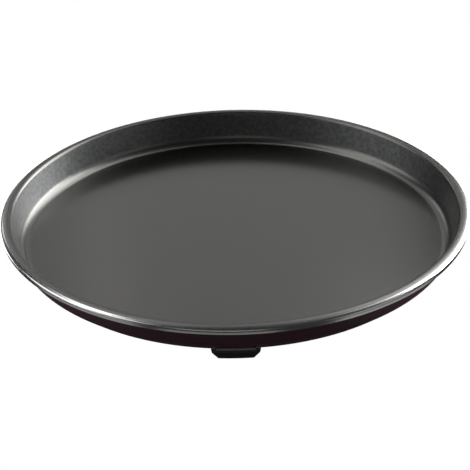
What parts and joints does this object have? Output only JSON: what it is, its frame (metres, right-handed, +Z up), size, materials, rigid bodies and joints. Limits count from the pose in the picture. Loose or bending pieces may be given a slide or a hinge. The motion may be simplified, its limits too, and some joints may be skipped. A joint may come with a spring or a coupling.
{
  "type": "microwave crisp plate",
  "caption": "Shallow round browning plate with a turned-down rim, a ferrite rubber disc under its floor and short moulded feet.",
  "frame": {"origin": "centre of the circle that the feet stand on, on the standing surface", "axes": "+Z up through the centre of the dish, -Y towards the front foot, +X to the right of the picture's view"},
  "size_m": [0.305, 0.305, 0.033],
  "materials": {
    "coated_sheet": "dark satin non-stick coating inside, dark maroon enamel on the outside of the wall, bare metal on the edge of the rim",
    "ferrite_rubber": "matt maroon-brown moulded rubber filled with ferrite",
    "foot_rubber": "smooth black moulded heat-proof rubber"
  },
  "bodies": {
    "root": {"pan": "coated_sheet", "absorber": "ferrite_rubber", "foot_front": "foot_rubber", "foot_rear_left": "foot_rubber", "foot_rear_right": "foot_rubber"}
  },
  "joints": []
}
